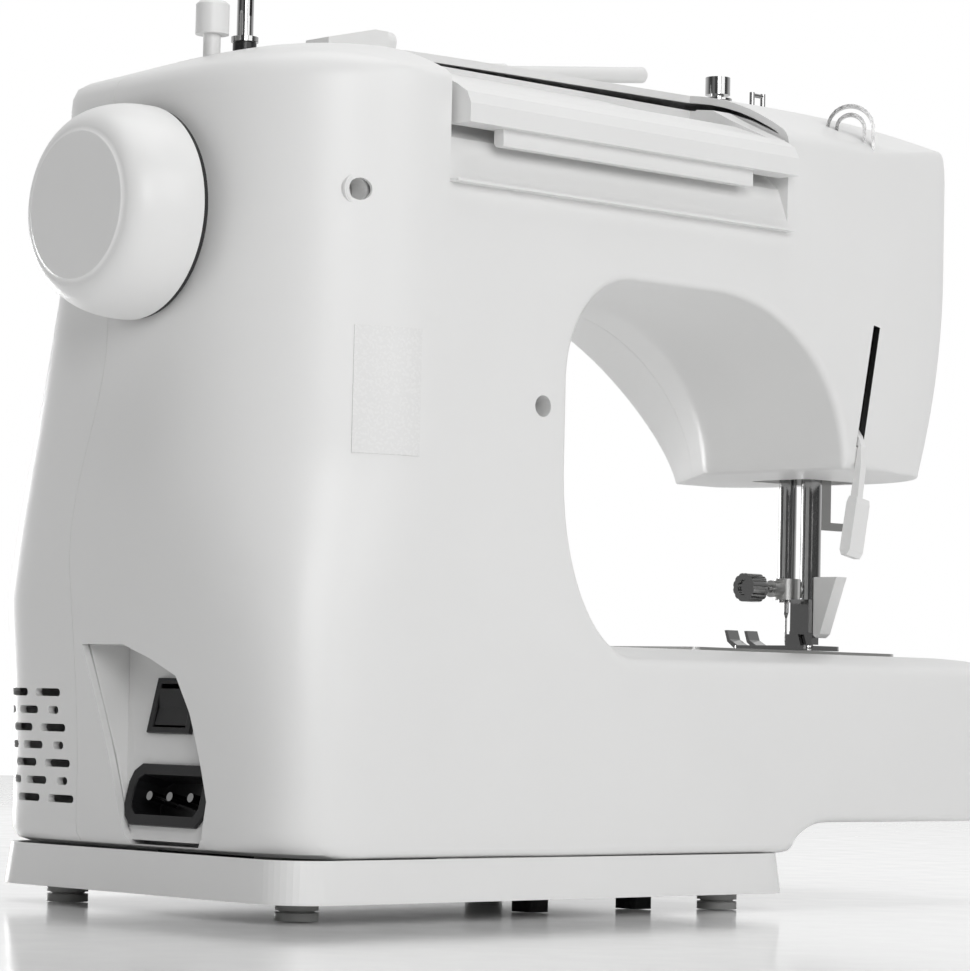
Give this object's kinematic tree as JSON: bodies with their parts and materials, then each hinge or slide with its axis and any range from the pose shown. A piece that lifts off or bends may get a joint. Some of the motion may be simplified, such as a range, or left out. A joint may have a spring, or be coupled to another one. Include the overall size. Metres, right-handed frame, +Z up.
{
  "type": "sewing machine",
  "caption": "Domestic free-arm sewing machine with handwheel, fold-down carry handle, presser foot, hook door and power inlet, seen from behind.",
  "frame": {"origin": "middle of the footprint, on the table", "axes": "+X towards the handwheel, +Y away from the person sewing, +Z up"},
  "size_m": [0.394, 0.168, 0.312],
  "materials": {
    "white_plastic": "satin, fine moulded texture",
    "pale_grey_plastic": "satin",
    "dark_plastic": "satin",
    "nylon": "moulded",
    "bobbin_plastic": "clear, glossy",
    "black_rubber": "matt",
    "grey_rubber": "matt",
    "bright_steel": "polished",
    "plain_steel": "brushed",
    "motor_paint": "satin paint",
    "lever_paint": "satin paint on cast metal",
    "cast_alloy": "as cast",
    "bronze": "turned",
    "lamp_glass": "frosted"
  },
  "bodies": {
    "machine": {"rear_shell": "white_plastic", "front_shell": "white_plastic", "bed_cover": "white_plastic", "base_tray": "white_plastic", "rubber_feet": "grey_rubber", "support_pads": "black_rubber", "handle_well": "white_plastic", "handle_screw": "plain_steel", "shell_screws": "plain_steel", "arm_frame": "cast_alloy", "socket_panel": "pale_grey_plastic", "power_socket": "dark_plastic", "socket_pins": "bright_steel", "switch_bezel": "dark_plastic", "shaft_bushes": "bronze", "timing_belt": "black_rubber", "motor": "motor_paint", "drive_belt": "black_rubber", "bar_guides": "cast_alloy", "needle_plate": "plain_steel", "hook_race": "cast_alloy", "winder_stop": "white_plastic", "spool_pin": "white_plastic", "reel_rest": "white_plastic", "tension_seat": "white_plastic", "thread_tension_knob": "bright_steel", "thread_guides": "bright_steel", "thread_hoop": "bright_steel", "lamp": "lamp_glass"},
    "drive": {"handwheel": "white_plastic", "main_shaft": "plain_steel", "belt_wheel": "nylon", "upper_timing_wheel": "nylon", "crank_disc": "plain_steel"},
    "motor_rotor": {"motor_pulley": "nylon"},
    "under_shaft": {"lower_shaft": "plain_steel", "lower_timing_wheel": "nylon"},
    "hook": {"shuttle_hook": "bright_steel"},
    "bobbin_reel": {"bobbin": "bobbin_plastic"},
    "needle_unit": {"needle_bar": "bright_steel", "needle_clamp": "plain_steel", "clamp_screw": "bright_steel", "needle": "bright_steel"},
    "take_up": {"take_up_lever": "bright_steel"},
    "lifter": {"presser_lifter": "lever_paint"},
    "presser": {"presser_bar": "bright_steel", "presser_shank": "bright_steel", "shank_lever": "pale_grey_plastic"},
    "foot": {"presser_foot": "bright_steel"},
    "threader": {"needle_threader": "plain_steel"},
    "feed": {"feed_dog": "plain_steel"},
    "hook_door": {"hook_cover": "white_plastic"},
    "handle": {"carry_handle": "white_plastic"},
    "rocker": {"power_switch": "dark_plastic"},
    "pattern_knob": {"pattern_dial": "white_plastic"},
    "length_knob": {"length_dial": "white_plastic"},
    "tension_knob": {"tension_dial": "white_plastic"},
    "reverse": {"reverse_lever": "white_plastic"},
    "winder": {"winder_carriage": "dark_plastic"},
    "winder_pin": {"winder_spindle": "bright_steel"}
  },
  "joints": [
    {"name": "handwheel_turn", "type": "hinge", "parent": "machine", "child": "drive", "pos_m": [0, 0.005, 0.227], "axis": [1, 0, 0], "continuous": true},
    {"name": "motor_turn", "type": "hinge", "parent": "machine", "child": "motor_rotor", "pos_m": [0.126, -0.04, 0.06], "axis": [1, 0, 0], "continuous": true},
    {"name": "under_shaft_turn", "type": "hinge", "parent": "machine", "child": "under_shaft", "pos_m": [0, 0.016, 0.062], "axis": [1, 0, 0], "continuous": true},
    {"name": "hook_swing", "type": "hinge", "parent": "machine", "child": "hook", "pos_m": [-0.144, 0, 0.062], "axis": [0, 1, 0], "range_deg": [-100, 100]},
    {"name": "bobbin_turn", "type": "hinge", "parent": "machine", "child": "bobbin_reel", "pos_m": [-0.144, -0.009, 0.062], "axis": [0, 1, 0], "continuous": true},
    {"name": "needle_stroke", "type": "slide", "parent": "machine", "child": "needle_unit", "axis": [0, 0, 1], "range_m": [-0.012, 0.02]},
    {"name": "take_up_rock", "type": "hinge", "parent": "machine", "child": "take_up", "pos_m": [-0.129, -0.03, 0.232], "axis": [1, 0, 0], "range_deg": [-25, 25]},
    {"name": "lifter_raise", "type": "hinge", "parent": "machine", "child": "lifter", "pos_m": [-0.1085, 0.064, 0.196], "axis": [0.9816, 0, 0.1908], "range_deg": [0, 60]},
    {"name": "presser_lift", "type": "slide", "parent": "machine", "child": "presser", "axis": [0, 0, 1], "range_m": [0, 0.006]},
    {"name": "foot_rock", "type": "hinge", "parent": "presser", "child": "foot", "pos_m": [-0.144, 0.0115, 0.097], "axis": [1, 0, 0], "range_deg": [-1, 0.6]},
    {"name": "threader_push", "type": "slide", "parent": "machine", "child": "threader", "axis": [0, 0, 1], "range_m": [-0.02, 0], "stiffness_N_per_m": 40, "springref_m": 0.003},
    {"name": "feed_stroke", "type": "slide", "parent": "machine", "child": "feed", "axis": [0, 1, 0], "range_m": [-0.0015, 0.0015]},
    {"name": "hook_door_open", "type": "hinge", "parent": "machine", "child": "hook_door", "pos_m": [-0.144, -0.0407, 0.038], "axis": [1, 0, 0], "range_deg": [0, 90]},
    {"name": "handle_raise", "type": "hinge", "parent": "machine", "child": "handle", "pos_m": [0.02, 0.046, 0.279], "axis": [1, 0, 0], "range_deg": [0, 100]},
    {"name": "switch_rock", "type": "hinge", "parent": "machine", "child": "rocker", "pos_m": [0.14506, 0.0033, 0.06613], "axis": [0, -1, 0], "range_deg": [0, 12]},
    {"name": "pattern_turn", "type": "hinge", "parent": "machine", "child": "pattern_knob", "pos_m": [0.104, -0.06, 0.188], "axis": [0, -1, 0], "continuous": true},
    {"name": "length_turn", "type": "hinge", "parent": "machine", "child": "length_knob", "pos_m": [0.104, -0.05, 0.243], "axis": [0, -1, 0], "range_deg": [0, 300]},
    {"name": "tension_turn", "type": "hinge", "parent": "machine", "child": "tension_knob", "pos_m": [-0.062, -0.05, 0.246], "axis": [0, -1, 0], "range_deg": [0, 300]},
    {"name": "reverse_press", "type": "hinge", "parent": "machine", "child": "reverse", "pos_m": [0.104, -0.062, 0.128], "axis": [1, 0, 0], "range_deg": [0, 15], "stiffness_Nm_per_rad": 0.5, "springref_deg": -5.73},
    {"name": "winder_shift", "type": "slide", "parent": "machine", "child": "winder", "axis": [1, 0, 0], "range_m": [0, 0.0035]},
    {"name": "winder_turn", "type": "hinge", "parent": "winder", "child": "winder_pin", "pos_m": [0.127, 0.003, 0.3], "axis": [0, 0, 1], "continuous": true}
  ],
  "couplings": [
    {"joint": "motor_turn", "follows": "handwheel_turn", "ratio": 2.6},
    {"joint": "under_shaft_turn", "follows": "handwheel_turn", "ratio": 1},
    {"joint": "presser_lift", "follows": "lifter_raise", "m_per_rad": 0.0057}
  ]
}
